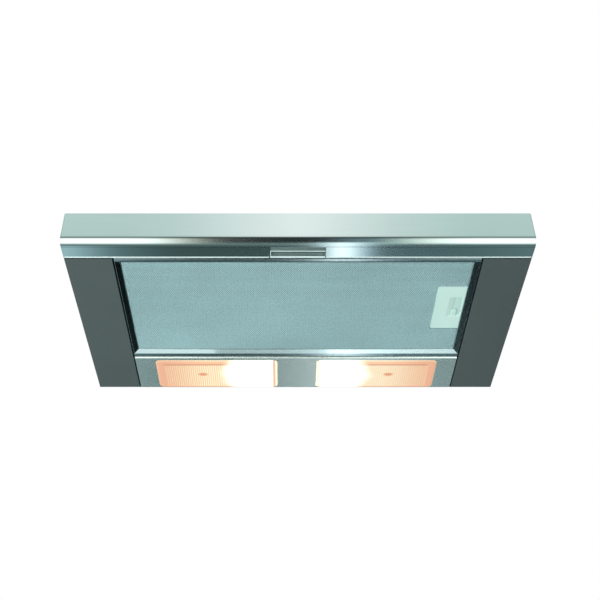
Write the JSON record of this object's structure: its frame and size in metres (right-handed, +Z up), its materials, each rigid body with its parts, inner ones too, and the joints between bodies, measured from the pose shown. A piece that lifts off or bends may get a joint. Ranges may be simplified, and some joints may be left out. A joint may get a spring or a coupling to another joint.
{
  "type": "under cabinet range hood",
  "caption": "Slim telescopic hood that hangs under a kitchen wall cabinet: pull-out grease filter drawer, lit lens covers, sheet steel housing with a blower and a round duct spigot.",
  "frame": {"origin": "middle of the four cabinet screws, in the mounting face on top of the slim lower body", "axes": "+X to the right seen from the room, +Y to the wall, +Z up"},
  "size_m": [0.598, 0.333, 0.2252],
  "materials": {
    "brushed_steel": "satin brushed stainless steel, grain along the width",
    "filter_steel": "bright pressed stainless steel",
    "lamp_steel": "satin stainless steel",
    "dark_paint": "satin dark grey paint",
    "galvanised": "galvanised sheet with faint spangle",
    "aluminium_mesh": "fine perforated and expanded aluminium",
    "filter_aluminium": "rolled aluminium",
    "reflector": "bright reflector sheet",
    "pale_plastic": "pale translucent-looking satin plastic",
    "black_plastic": "fine-textured black plastic",
    "grey_plastic": "satin grey plastic",
    "motor_steel": "machined steel",
    "rail_steel": "zinc plated",
    "cage_plastic": "natural nylon",
    "rubber": "black rubber",
    "ceramic": "glazed white ceramic",
    "bulb_metal": "nickelled brass cap",
    "bulb_glass": "frosted lamp glass",
    "lens_plastic": "ribbed translucent plastic",
    "screw_steel": "zinc plated screw heads"
  },
  "bodies": {
    "hood_body": {"chassis_plate": "galvanised", "side_panel_left": "dark_paint", "side_panel_right": "dark_paint", "lamp_panel": "lamp_steel", "housing_rear": "galvanised", "housing_top": "galvanised", "housing_front": "galvanised", "housing_end_left": "galvanised", "housing_end_right": "galvanised", "outlet_collar": "black_plastic", "damper_pin": "motor_steel", "scroll_left": "black_plastic", "scroll_right": "black_plastic", "motor": "motor_steel", "motor_bracket": "galvanised", "motor_grommets": "rubber", "capacitor": "black_plastic", "terminal_box": "black_plastic", "terminal_box_lid": "black_plastic", "cable_gland": "black_plastic", "inner_filter_frame": "galvanised", "inner_filter_mesh": "aluminium_mesh", "inner_filter_clips": "galvanised", "lamp_box_left": "reflector", "lamp_box_right": "reflector", "lampholders": "ceramic", "bulb_caps": "bulb_metal", "bulb_glasses": "bulb_glass", "control_strip": "galvanised", "switch_bodies": "black_plastic", "drawer_switch": "black_plastic", "outer_rail_left": "rail_steel", "outer_rail_right": "rail_steel", "drawer_buffers": "rubber", "housing_screws": "screw_steel"},
    "drawer": {"fascia": "brushed_steel", "fascia_ends": "brushed_steel", "finger_grip": "brushed_steel", "drawer_frame": "filter_steel", "fascia_brackets": "galvanised", "bracket_screws": "screw_steel", "inner_rail_left": "rail_steel", "inner_rail_right": "rail_steel"},
    "cage_left": {"ball_cage_left": "cage_plastic"},
    "cage_right": {"ball_cage_right": "cage_plastic"},
    "filter": {"filter_frame": "filter_aluminium", "filter_face": "aluminium_mesh", "filter_core": "aluminium_mesh", "filter_back": "aluminium_mesh", "latch_plate": "pale_plastic"},
    "latch": {"latch_slider": "pale_plastic"},
    "fan": {"impeller": "grey_plastic", "fan_shaft": "motor_steel"},
    "front_flap": {"damper_flap_front": "black_plastic"},
    "rear_flap": {"damper_flap_rear": "black_plastic"},
    "left_lens": {"lens_left": "lens_plastic"},
    "right_lens": {"lens_right": "lens_plastic"},
    "rocker": {"light_rocker": "grey_plastic"},
    "knob": {"speed_knob": "grey_plastic"},
    "plunger": {"drawer_switch_plunger": "black_plastic"}
  },
  "joints": [
    {"name": "drawer_slide", "type": "slide", "parent": "hood_body", "child": "drawer", "axis": [0, -1, 0], "range_m": [0, 0.18]},
    {"name": "cage_left_roll", "type": "slide", "parent": "hood_body", "child": "cage_left", "axis": [0, -1, 0], "range_m": [0, 0.09]},
    {"name": "cage_right_roll", "type": "slide", "parent": "hood_body", "child": "cage_right", "axis": [0, -1, 0], "range_m": [0, 0.09]},
    {"name": "filter_hinge", "type": "hinge", "parent": "drawer", "child": "filter", "pos_m": [-0.2282, -0.027, -0.046], "axis": [0, 1, 0], "range_deg": [0, 70]},
    {"name": "latch_pull", "type": "slide", "parent": "filter", "child": "latch", "axis": [-1, 0, 0], "range_m": [0, 0.0045], "stiffness_N_per_m": 300},
    {"name": "fan_spin", "type": "hinge", "parent": "hood_body", "child": "fan", "pos_m": [0, 0.04, 0.066], "axis": [1, 0, 0], "continuous": true},
    {"name": "front_flap_lift", "type": "hinge", "parent": "hood_body", "child": "front_flap", "pos_m": [0, 0.08, 0.149], "axis": [-1, 0, 0], "range_deg": [0, 75]},
    {"name": "rear_flap_lift", "type": "hinge", "parent": "hood_body", "child": "rear_flap", "pos_m": [0, 0.08, 0.149], "axis": [1, 0, 0], "range_deg": [0, 75]},
    {"name": "left_lens_hinge", "type": "hinge", "parent": "hood_body", "child": "left_lens", "pos_m": [-0.208, 0.1295, -0.0502], "axis": [0, 1, 0], "range_deg": [0, 80]},
    {"name": "right_lens_hinge", "type": "hinge", "parent": "hood_body", "child": "right_lens", "pos_m": [0.208, 0.1295, -0.0502], "axis": [0, -1, 0], "range_deg": [0, 80]},
    {"name": "light_switch", "type": "hinge", "parent": "hood_body", "child": "rocker", "pos_m": [-0.06, -0.1295, -0.0125], "axis": [0, 0, 1], "range_deg": [0, 14]},
    {"name": "speed_slide", "type": "slide", "parent": "hood_body", "child": "knob", "axis": [1, 0, 0], "range_m": [0, 0.026]},
    {"name": "drawer_switch_press", "type": "slide", "parent": "hood_body", "child": "plunger", "axis": [0, 1, 0], "range_m": [0, 0.0015], "stiffness_N_per_m": 200}
  ],
  "couplings": [
    {"joint": "cage_left_roll", "follows": "drawer_slide", "ratio": 0.5},
    {"joint": "cage_right_roll", "follows": "drawer_slide", "ratio": 0.5}
  ]
}
